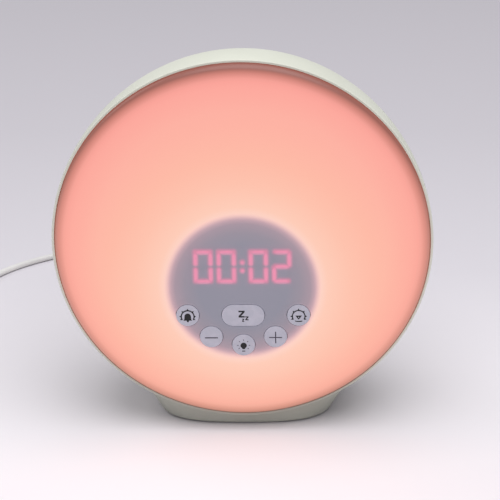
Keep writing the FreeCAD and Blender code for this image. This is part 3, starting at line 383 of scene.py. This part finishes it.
# %% Foot skin
SKIN_FOOT, SKIN_EDGE, SKIN_RINGS = 0.8, 0.3, 38
INNER_WIDTH, INNER_DEPTH = 38.0, 28.2
SUNK = 1.3

rings = [foot_ring(SKIN_FOOT, INNER_WIDTH, INNER_DEPTH),
         foot_ring(SKIN_FOOT, flare_width(SKIN_FOOT) - SKIN_EDGE, FOOT_DEPTH - SKIN_EDGE)]
rings += [foot_ring(height, flare_width(height), FOOT_DEPTH)
          for height in [1.1 + i for i in range(SKIN_RINGS)]]
points = [point for ring in rings for point in ring]


def hidden(point):
    """True for a point well inside the disc."""
    px, py, pz = point
    c, s = math.cos(LEAN), math.sin(LEAN)
    depth = (py - LIP_Y) * c - (pz - LIP_Z) * s
    height = (py - LIP_Y) * s + (pz - LIP_Z) * c
    return math.hypot(px, height) < disc_radius(depth) - SUNK


faces = []
for level in range(len(rings) - 1):
    for i in range(RING_POINTS):
        a, b = level * RING_POINTS + i, level * RING_POINTS + (i + 1) % RING_POINTS
        face = (a, b, b + RING_POINTS, a + RING_POINTS)
        if not all(hidden(points[v]) for v in face):
            faces.append(face)
used = sorted({v for face in faces for v in face})
order = {v: i for i, v in enumerate(used)}
mesh = bpy.data.meshes.new("foot_skin")
mesh.from_pydata([Vector(points[v]) / MM for v in used], [],
                 [[order[v] for v in face] for face in faces])
mesh.materials.append(housing)
mesh.shade_smooth()
foot_skin = bpy.data.objects.new("foot_skin", mesh)
bpy.context.scene.collection.objects.link(foot_skin)
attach(foot_skin, "clock")
print("foot skin:", len(faces), "faces")

# %% [markdown]
# ## Lit face
# The face is opal plastic 2 mm thick with a ring of small lamps behind it. What one sees is
# light that has wandered through the plastic, so it has no sharp forms: peach in the middle,
# pinker towards the rim, and darker over the rounded edge where less light gets through.
# Over the display, the display module behind keeps the lamps' light off the plastic; that shade
# is painted there in grey, and the digits show softly through it. The digits' light spreads in
# the plastic, so a soft copy of each lit bar is painted onto the plastic itself as glow.
#
# The copy needs each point's distance to the nearest lit bar. A zero is a rectangle's outline
# with a gap at half height, the two is five straight bars, and the colon is two dots. Seen
# from above, the bars behind the plastic look a little higher, so their glow sits there.

# %% Distance to the lit bars
DIGIT_Z, DIGIT_H, DIGIT_W, PITCH_X, INNER_X = -12.1, 16.3, 8.8, 10.65, 7.3
BAR, BAR_INSET, HALF_GAP = 1.9, 0.55, 1.45
SEEN_SHIFT = 1.5
RIM_STRETCH, RIM_RISE = 1.016, 0.7
half_w, half_h = (DIGIT_W - BAR) / 2, (DIGIT_H - BAR) / 2

net = Net("diffuser_plastic")
x, depth, z = net.disc_place()
radius = net.length(x, z * RIM_STRETCH + RIM_RISE)
from_pod = net.length(x, z - POD_Z)

up_z = z - (DIGIT_Z + SEEN_SHIFT)
nearest = None
for middle in (-INNER_X - PITCH_X, -INNER_X, INNER_X):
    qx = (x - middle).size() - half_w
    qz = up_z.size() - half_h
    outside = net.length(qx.at_least(0.0), qz.at_least(0.0))
    ring = (outside + qx.at_least(qz).at_most(0.0)).size()
    gap = net.math("SUBTRACT", HALF_GAP, up_z.size()).at_least(0.0)
    ring = net.length(ring, gap)
    nearest = ring if nearest is None else nearest.at_most(ring)


def to_bar(x0, z0, x1, z1):
    """Distance from each point to a straight bar's centre line, level or upright."""
    qx = ((x - (x0 + x1) / 2).size() - (x1 - x0) / 2).at_least(0.0)
    qz = ((up_z - (z0 + z1) / 2).size() - (z1 - z0) / 2).at_least(0.0)
    return net.length(qx, qz)


two = INNER_X + PITCH_X
left, right_side = two - half_w, two + half_w
for x0, z0, x1, z1 in (
    (left + BAR_INSET, half_h, right_side - BAR_INSET, half_h),
    (right_side, BAR_INSET, right_side, half_h - BAR_INSET),
    (left + BAR_INSET, 0.0, right_side - BAR_INSET, 0.0),
    (left, -half_h + BAR_INSET, left, -BAR_INSET),
    (left + BAR_INSET, -half_h, right_side - BAR_INSET, -half_h),
):
    nearest = nearest.at_most(to_bar(x0, z0, x1, z1))
for level in (-DIGIT_H / 8, DIGIT_H / 8):
    nearest = nearest.at_most(net.length(x, up_z - level))
DIGIT_BLUR, HAZE_BLUR = 2.15, 5.0
# Painted glow: the lit bars' light, spread in the plastic, is painted into its colour as a soft copy and
# a wider haze.
painted_digit_glow = nearest.fall(0.0, DIGIT_BLUR)
painted_digit_haze = nearest.fall(0.0, HAZE_BLUR)
print("distance to the bars:", len(net.tree.nodes), "nodes")

# %% [markdown]
# ## Colours of the lit face
# Three ramps by distance give the colours: one from the display outwards, one painting shade
# towards the rim, and one painting the grey shade over the display. The painted rim shade starts
# a little earlier at the top, so its distance is stretched that way. Most of the colour is given
# off, the rest reflected.

# %% Colours of the lit face
ZONE_FULL, ZONE_NONE = 32.4, 36.8
HAZE_SHARE, DIGIT_SHARE = 0.22, 0.95
zone = from_pod.fall(ZONE_FULL, ZONE_NONE)
face = net.ramp(from_pod, [(33.0, (255, 208, 203)), (36.0, (255, 211, 195)), (39.0, (255, 204, 182)),
                           (50.0, (255, 194, 171)), (62.0, (255, 186, 164)), (78.0, (255, 178, 161)),
                           (106.0, (254, 169, 158))])
# Painted shade at the rim: this ramp darkens both the given-off and the reflected colour.
rim = net.ramp(radius, [(66.0, (255, 255, 255)), (77.5, (255, 247, 248)), (79.8, (252, 242, 243)),
                        (81.3, (246, 236, 236)), (82.6, (230, 218, 216)), (84.0, (211, 199, 195)),
                        (85.0, (186, 176, 171)), (85.8, (154, 143, 137))])
# Painted shade of the display: grey where the display keeps the lamps' light off, with a soft edge.
display_shade_painted = net.ramp(from_pod, [(0.0, (158, 156, 170)), (20.0, (156, 155, 169)), (26.5, (166, 157, 169)),
                           (31.0, (182, 162, 173)), (33.4, (216, 180, 188)), (36.2, (255, 206, 200))])
lit = net.blend(1.0, face, rim, "MULTIPLY")
inside = net.blend(painted_digit_haze * HAZE_SHARE, display_shade_painted, shown(190, 150, 172))
inside = net.blend(painted_digit_glow * DIGIT_SHARE, inside, shown(240, 148, 178))
surface = net.blend(zone, lit, inside)
drift = net.noise(0.012, 2.0)

# Over the display less light is given off, as part of its painted shade.
GLOW_OUT, GLOW_IN = 0.84, 0.5
glow = net.blend(zone, (GLOW_OUT,) * 3 + (1,), (GLOW_IN,) * 3 + (1,))
paint = net.blend(zone, (1 - GLOW_OUT,) * 3 + (1,), (1 - GLOW_IN,) * 3 + (1,))
net.set(Base_Color=net.blend(1.0, surface, paint, "MULTIPLY"),
        Emission_Color=net.blend(1.0, surface, glow, "MULTIPLY"),
        Emission_Strength=1.0, Roughness=drift * 0.08 + 0.34)
net.bump(net.noise(0.0006, 2.0), 0.00001, 0.3)
print("colours: glow", GLOW_OUT, "outside the display,", GLOW_IN, "over it")

# %% [markdown]
# Over the display one also sees through the plastic, so that the real bezel and bars take
# part. The back of the sheet is clear there, and the front lets a small share through.

# %% See-through part
FRONT_CLEAR = 0.16
BACK_FROM, BACK_TO = -1.35, -1.15
see = net.add("ShaderNodeBsdfTransparent")
mix = net.add("ShaderNodeMixShader")
back = depth.fall(BACK_FROM, BACK_TO) * -1.0 + 1.0
through = zone * (back * (1.0 - FRONT_CLEAR) + FRONT_CLEAR)
net.feed(mix.inputs[0], through)
net.feed(mix.inputs[1], net.shader.outputs[0])
net.feed(mix.inputs[2], see.outputs[0])
net.feed(net.output.inputs[0], mix.outputs[0])
wear(net.material, "diffuser")
print("lit face:", len(net.tree.nodes), "nodes in its tree")

# %% [markdown]
# ## Display
# Behind the part of the face with the painted grey shade sits the display: a grey bezel, the
# grey digit module and its bars. The lit bars shine a soft pink; the unlit ones are only slightly
# darker than the module, as they look through the plastic.

# %% Display
wear(moulded("bezel_plastic", (176, 174, 188), (170, 169, 183), 0.6), "display_bezel")
wear(moulded("digit_module_plastic", (172, 170, 184), (166, 165, 179), 0.6), "digit_module")
wear(moulded("unlit_plastic", (112, 108, 120), (106, 103, 115), 0.45), "unlit_segments")
net = Net("lit_plastic")
flicker = net.noise(0.004, 1.0)
net.set(Base_Color=shown(240, 140, 172), Roughness=0.4, Emission_Strength=0.9,
        Emission_Color=net.blend(flicker, shown(246, 140, 174), shown(250, 160, 190)))
wear(net.material, "lit_segments")
print("display: bezel, module and bars")

# %% [markdown]
# ## Keys
# The front keys are smooth satin caps in a pale lavender grey, flush with the face. Their
# signs are printed in black. Prints are real thin shapes here: each stands 0.03 mm proud of
# its key, as thick ink does, and moves with the key.

# %% Key caps
front_keys = {
    "alarm_key": (-25.5, -34.9), "snooze_key": (0.0, -34.9), "sunset_key": (25.5, -34.9),
    "minus_key": (-14.8, -45.6), "plus_key": (14.8, -45.6), "lamp_key": (0.0, -49.7),
}
rear_keys = {"clock_set_key": -17.25, "alarm_set_key": -5.75, "sound_key": 5.75, "volume_key": 17.25}
net = Net("key_plastic")
slow = net.noise(0.004, 2.0)
net.set(Base_Color=net.blend(slow.fall(0.6, 0.4), shown(199, 198, 211), shown(193, 193, 206)),
        Roughness=slow * 0.06 + 0.36)
net.bump(net.noise(0.00025, 2.0), 0.000008, 0.3)
wear(net.material, *front_keys, *rear_keys)
print(len(front_keys) + len(rear_keys), "key caps")

# %% [markdown]
# ## Printed signs
# A sign is a list of flat outlines in millimetres round its key's middle. An outline inside
# another makes a hole. The helpers below give the outlines of strokes, arcs and discs.


# %% Outlines for signs
def disc(cx, cz, r, steps=32, r_up=None):
    """A round dot, or an oval one if r_up gives its half height."""
    return [(cx + r * math.cos(2 * math.pi * i / steps),
             cz + (r_up or r) * math.sin(2 * math.pi * i / steps)) for i in range(steps)]


def stroke(x0, z0, x1, z1, width):
    """A straight stroke with square ends."""
    dx, dz = x1 - x0, z1 - z0
    size = math.hypot(dx, dz)
    nx, nz = -dz / size * width / 2, dx / size * width / 2
    return [(x0 + nx, z0 + nz), (x0 - nx, z0 - nz), (x1 - nx, z1 - nz), (x1 + nx, z1 + nz)]


def arc(cx, cz, r, width, start, end, steps=32):
    """A bent stroke; the angles are in degrees."""
    angles = [math.radians(start + (end - start) * i / steps) for i in range(steps + 1)]
    outer = [(cx + (r + width / 2) * math.cos(a), cz + (r + width / 2) * math.sin(a)) for a in angles]
    inner = [(cx + (r - width / 2) * math.cos(a), cz + (r - width / 2) * math.sin(a)) for a in angles]
    return outer + inner[::-1]


def tooth(cx, cz, r, angle, height, half):
    """A small triangle that points outwards from a circle."""
    a = math.radians(angle)
    side = math.radians(half)
    return [(cx + r * math.cos(a - side), cz + r * math.sin(a - side)),
            (cx + (r + height) * math.cos(a), cz + (r + height) * math.sin(a)),
            (cx + r * math.cos(a + side), cz + r * math.sin(a + side))]


def letter_z(cx, cz, width, height, weight, slope):
    """The letter Z as one outline: two level strokes and the slope between them."""
    w, h, t = width / 2, height / 2, weight
    return [(cx - w, cz + h), (cx + w, cz + h), (cx + w, cz + h - t), (cx - w + slope, cz - h + t),
            (cx + w, cz - h + t), (cx + w, cz - h), (cx - w, cz - h), (cx - w, cz - h + t),
            (cx + w - slope, cz + h - t), (cx - w, cz + h - t)]


def sun(cx, cz, r, width):
    """An open ring with seven teeth: a rising or setting sun."""
    shapes = [arc(cx, cz, r, width, -32, 212)]
    for angle in (90, 45, 135, 0, 180, -25, 205):
        shapes.append(tooth(cx, cz, r, angle, 1.0, 11))
    return shapes


print("outlines: disc, stroke, arc, tooth, letter_z, sun")

# %% [markdown]
# Each sign is one object made of thin plates. Every outline, with the holes in it, becomes a
# plate of its own, so that no outline has to be cut against another.


# %% A thin printed plate
INK_THICK = 0.03


def printed(name, outlines, place, material, body):
    """Thin plates from flat outlines. place turns (x, out, z) in millimetres into the frame."""
    curve = bpy.data.curves.new(name + "_outline", "CURVE")
    curve.dimensions, curve.fill_mode = "2D", "BOTH"
    meshes = []
    for group in outlines:
        loops = group if isinstance(group[0], list) else [group]
        curve.splines.clear()
        for loop in loops:
            line = curve.splines.new("POLY")
            line.points.add(len(loop) - 1)
            for point, (px, pz) in zip(line.points, loop):
                point.co = (px, pz, 0.0, 1.0)
            line.use_cyclic_u = True
        curve.extrude = INK_THICK
        holder = bpy.data.objects.new(name + "_outline", curve)
        bpy.context.scene.collection.objects.link(holder)
        bpy.context.view_layer.update()
        graph = bpy.context.evaluated_depsgraph_get()
        meshes.append(bpy.data.meshes.new_from_object(holder.evaluated_get(graph)))
        bpy.data.objects.remove(holder)
    vertices, faces = [], []
    for mesh in meshes:
        start = len(vertices)
        vertices += [place(v.co.x, v.co.z, v.co.y) for v in mesh.vertices]
        faces += [[start + i for i in face.vertices] for face in mesh.polygons]
        bpy.data.meshes.remove(mesh)
    bpy.data.curves.remove(curve)
    mesh = bpy.data.meshes.new(name)
    mesh.from_pydata(vertices, [], faces)
    mesh.materials.append(material)
    piece = bpy.data.objects.new(name, mesh)
    bpy.context.scene.collection.objects.link(piece)
    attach(piece, body)


def on_key(name):
    """Where a sign's point goes on a front key."""
    kx, kz = front_keys[name]
    return lambda px, out, pz: on_disc(kx + px, FACE_Y - out, kz + pz)


def printing_ink(name, colour, other):
    """Matt ink with a very fine speckle."""
    net = Net(name)
    speck = net.noise(0.0004, 2.0)
    net.set(Base_Color=net.blend(speck, shown(*colour), shown(*other)), Roughness=speck * 0.1 + 0.5)
    return net.material


ink = printing_ink("black_ink", (10, 9, 13), (16, 14, 19))
thin_ink = printing_ink("thin_ink", (52, 44, 62), (60, 52, 70))
print("printing is ready")

# %% [markdown]
# ## Signs on the front keys
# Alarm: a sun with a bell. Snooze: three letters Z. Sunset: a sun over a sinking arrow and the
# horizon. Then minus, plus, and a bulb with rays. All are common signs for these functions.

# %% The signs
bell = [(-1.95, -2.55), (-1.95, -2.3), (-1.6, -1.9), (-1.5, -0.9)]
bell += [(1.5 * math.cos(a), -0.6 + 1.6 * math.sin(a))
         for a in [math.pi * (1 - i / 16) for i in range(17)]]
bell += [(1.5, -0.9), (1.6, -1.9), (1.95, -2.3), (1.95, -2.55)]
printed("alarm_sign", sun(0.0, -0.55, 2.95, 0.56) + [bell, disc(0.05, -2.85, 0.5, 20)],
        on_key("alarm_key"), ink, "alarm_key")

printed("snooze_sign", [letter_z(-0.7, 0.65, 2.8, 3.4, 0.74, 1.1),
                        letter_z(1.7, -1.45, 1.5, 1.9, 0.44, 0.64),
                        letter_z(0.0, -2.4, 1.0, 1.45, 0.34, 0.44)],
        on_key("snooze_key"), ink, "snooze_key")

arrow = [[(-1.5, -0.15), (1.5, -0.15), (0.0, -2.2)], [(-0.4, -0.8), (0.4, -0.8), (0.0, -1.32)]]
horizon = arc(0.0, 2.5, 5.6, 0.46, 253, 287, 16)
printed("sunset_sign", sun(0.0, -0.5, 2.9, 0.52) + [arrow, horizon],
        on_key("sunset_key"), ink, "sunset_key")

printed("minus_sign", [stroke(-3.0, -0.5, 3.0, -0.5, 0.5)], on_key("minus_key"), thin_ink,
        "minus_key")
printed("plus_sign", [stroke(-3.0, -0.4, 3.0, -0.4, 0.46), stroke(0.0, -3.3, 0.0, -0.63, 0.46),
                      stroke(0.0, -0.17, 0.0, 2.5, 0.46)],
        on_key("plus_key"), thin_ink, "plus_key")

bulb = [(-0.55, -2.1), (-0.7, -1.6)]
bulb += [(1.45 * math.cos(a), -0.35 + 1.45 * math.sin(a))
         for a in [math.radians(215 - 250 * i / 24) for i in range(25)]]
bulb += [(0.7, -1.6), (0.55, -2.1)]
RAY_IN, RAY_OUT = 2.35, 2.95
rays = [stroke(RAY_IN * math.cos(a), -0.2 + RAY_IN * math.sin(a),
               RAY_OUT * math.cos(a), -0.2 + RAY_OUT * math.sin(a), 0.3)
        for a in [math.radians(d) for d in (90, 45, 135, 0, 180, -38, 218)]]
printed("lamp_sign", [bulb, stroke(-0.72, -3.1, 0.72, -3.1, 0.42)], on_key("lamp_key"), ink,
        "lamp_key")
printed("lamp_rays", rays, on_key("lamp_key"), thin_ink, "lamp_key")
print("6 keys have their signs")

# %% [markdown]
# ## Back and underside
# The rear keys have small generic signs above them: a clock, a bell, a note and a speaker.
# They are printed on the cover, in a grey ink only a little darker than the plastic.

# %% Signs at the back
grey_ink = printing_ink("grey_ink", (112, 114, 108), (122, 124, 118))


def at_back(cx, cz):
    """Where a sign's point goes on the rear cover, mirrored so that it reads right."""
    return lambda px, out, pz: on_disc(cx - px, BACK_Y + out, cz + pz)


SIGN_Z = -17.6
clock_sign = [[disc(0, 0, 1.75), disc(0, 0, 1.42)], stroke(0, -0.15, 0, 1.05, 0.3),
              stroke(-0.15, 0, 0.85, 0, 0.3)]
small_bell = [[(px * 0.72, pz * 0.72 + 0.75) for px, pz in bell], disc(0, -1.45, 0.36, 16)]
note = [disc(-0.55, -1.2, 0.62, 20, 0.48), stroke(-0.07, -1.2, -0.07, 1.5, 0.26),
        stroke(-0.07, 1.37, 1.15, 0.7, 0.34)]
speaker_sign = [[(-1.7, -0.5), (-0.9, -0.5), (0.1, -1.3), (0.1, 1.3), (-0.9, 0.5), (-1.7, 0.5)],
                arc(-0.1, 0, 1.0, 0.28, -40, 40, 12), arc(-0.1, 0, 1.75, 0.28, -40, 40, 12)]
for name, shapes in (("clock_set_key", clock_sign), ("alarm_set_key", small_bell),
                     ("sound_key", note), ("volume_key", speaker_sign)):
    printed(name.replace("_key", "_sign"), shapes, at_back(rear_keys[name], SIGN_Z), grey_ink,
            "clock")
print("4 signs at the back")

# %% [markdown]
# ## Cord, plugs and feet
# The jacket and both plugs are a soft off-white with a satin surface; handling leaves it a
# little uneven. The feet and the tie round the coil are dark rubber.

# %% Soft plastics and rubber
net = Net("cord_plastic")
slow = net.noise(0.02, 3.0)
net.set(Base_Color=net.blend(slow.fall(0.65, 0.35), shown(231, 229, 226), shown(222, 220, 218)),
        Roughness=slow * 0.1 + 0.4)
net.bump(net.noise(0.0009, 2.0), 0.00002, 0.3)
curve.materials.append(net.material)
wear(net.material, "dc_plug_body", "usb_plug_body")
wear(moulded("foot_rubber", (52, 52, 54), (46, 46, 48), 0.75, 0.0006, 0.00003), "rubber_feet")
wear(moulded("tie_rubber", (78, 78, 81), (70, 70, 73), 0.7, 0.0005, 0.00003), "cord_tie")
print("cord, plugs, feet and tie")


# %% [markdown]
# ## Metals and inner pieces
# These hardly show from outside, but each has its own finish for anyone who opens the clock.

# %% Metals
def metal(name, colour, roughness):
    """Plated metal with fine marks from its making."""
    net = Net(name)
    marks = net.noise(0.0012, 4.0)
    net.set(Base_Color=net.blend(marks, shown(*colour), shown(*[v * 0.9 for v in colour])),
            Metallic=1.0, Roughness=marks * 0.15 + roughness)
    net.bump(net.noise(0.0003, 2.0), 0.000006, 0.3)
    return net.material


steel = metal("plated_steel", (196, 197, 200), 0.22)
wear(steel, "housing_screws", "shroud_screws", "board_screws", "speaker_screws",
     "rear_key_board_screws", "base_screws", "usb_plug_shell", "dc_plug_barrel", "coin_cell",
     "speaker_frame")
wear(metal("magnet", (120, 121, 126), 0.4), "speaker_magnet")
wear(metal("plated_contacts", (212, 184, 120), 0.25), "cell_contact", "jack_pins")
print("metals")

# %% Inner plastics, boards and paper
wear(moulded("white_plastic", (240, 240, 236), (234, 234, 230), 0.45), "reflector", "control_shroud",
     "display_ribbon")
wear(moulded("dark_plastic", (44, 44, 48), (38, 38, 42), 0.42), "key_switches", "rear_key_switches",
     "main_chips", "led_lead", "dc_jack", "usb_plug_tongue")
wear(moulded("gasket_rubber", (50, 50, 50), (44, 44, 44), 0.8), "speaker_gasket")
net = Net("cone_paper")
fibre = net.noise(0.0008, 5.0)
net.set(Base_Color=net.blend(fibre, shown(54, 54, 56), shown(70, 70, 72)), Roughness=0.85)
net.bump(fibre, 0.00005, 0.5)
wear(net.material, "speaker_cone")
net = Net("circuit_board")
weave = net.noise(0.0008, 2.0)
net.set(Base_Color=net.blend(weave, shown(32, 92, 58), shown(38, 102, 66)), Roughness=weave * 0.1 + 0.3)
wear(net.material, "led_board", "control_board", "main_board", "rear_key_board")
net = Net("led_lens")
grain = net.noise(0.001, 1.0)
net.set(Base_Color=net.blend(grain, shown(250, 226, 190), shown(252, 218, 176)), Roughness=0.3,
        Emission_Color=shown(255, 200, 160), Emission_Strength=1.0)
wear(net.material, "leds")
print("inner pieces")

# %% [markdown]
# ## Table, light and backdrop
# A plain pale table with wide soft light from above and a weak lamp from the back left. Light
# that falls off towards the back is painted into the table's colour, lighter towards the front,
# as in the photograph, and no lamp is brighter than the colours need.

# %% Table and lights
floor_mesh = bpy.data.meshes.new("table_top")
HALF = 3.0
floor_mesh.from_pydata([(-HALF, -HALF, 0), (HALF, -HALF, 0), (HALF, HALF, 0), (-HALF, HALF, 0)],
                       [], [(0, 1, 2, 3)])
floor = bpy.data.objects.new("table_top", floor_mesh)
bpy.context.scene.collection.objects.link(floor)
net = Net("table")
parts = net.add("ShaderNodeSeparateXYZ")
net.feed(parts.inputs[0], net.place)
table_y = Value(net, parts.outputs[1])
# Painted light: the table's colour is lighter at the front and darker towards the back.
table_painted_light = net.ramp(table_y, [(-0.35, (252, 246, 250)), (-0.07, (250, 245, 249)),
                                  (0.12, (222, 218, 224)), (0.3, (208, 204, 210)),
                                  (0.5, (200, 196, 202))])
net.set(Base_Color=table_painted_light, Roughness=0.6)
floor_mesh.materials.append(net.material)


def lamp(name, place, aim, size, power):
    """A round soft lamp: where it hangs, where it points, its width in metres and its watts."""
    light = bpy.data.objects.new(name, bpy.data.lights.new(name, "AREA"))
    light.data.shape, light.data.size = "DISK", size
    light.data.energy = power
    light.location = place
    light.rotation_mode = "QUATERNION"
    light.rotation_quaternion = (Vector(aim) - Vector(place)).to_track_quat("-Z", "Y")
    bpy.context.scene.collection.objects.link(light)


lamp("ceiling", (0.16, -0.25, 1.7), (0, 0, 0.0), 1.9, 24.0)
lamp("window", (-1.3, 0.7, 1.2), (0, 0, 0.05), 1.0, 4.0)
world = bpy.data.worlds.new("room")
bpy.context.scene.world = world
world.use_nodes = True
world.node_tree.nodes["Background"].inputs[0].default_value = (0.95, 0.95, 1.0, 1)
world.node_tree.nodes["Background"].inputs[1].default_value = 0.36
bpy.context.scene.view_settings.view_transform = "Standard"
print("table and 2 lamps")

# %% Update the scene
bpy.context.view_layer.update()
